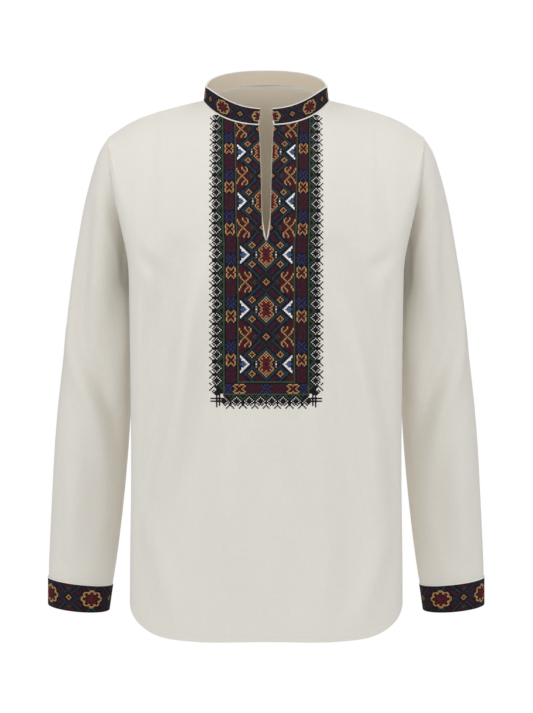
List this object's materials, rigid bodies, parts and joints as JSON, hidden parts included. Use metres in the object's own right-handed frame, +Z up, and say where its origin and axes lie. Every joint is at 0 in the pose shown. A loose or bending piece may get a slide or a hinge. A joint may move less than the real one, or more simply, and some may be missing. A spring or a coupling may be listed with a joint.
{
  "type": "embroidered folk shirt",
  "caption": "Long-sleeved loose shirt with a low band collar, an open neck slit, curved hem and cross-stitched chest, collar and cuffs, in its hollow worn form.",
  "frame": {"origin": "middle of the neck opening, level with the inner ends of the shoulder seams", "axes": "+Z up, -Y the wearer's front, +X the wearer's left"},
  "size_m": [0.6198, 0.2435, 0.8005],
  "materials": {
    "linen": "matt weave",
    "embroidery": "cotton thread"
  },
  "bodies": {
    "root": {"front": "linen", "back": "linen", "sleeve_left": "linen", "sleeve_right": "linen", "collar": "embroidery", "cuff_left": "embroidery", "cuff_right": "embroidery"}
  },
  "joints": []
}
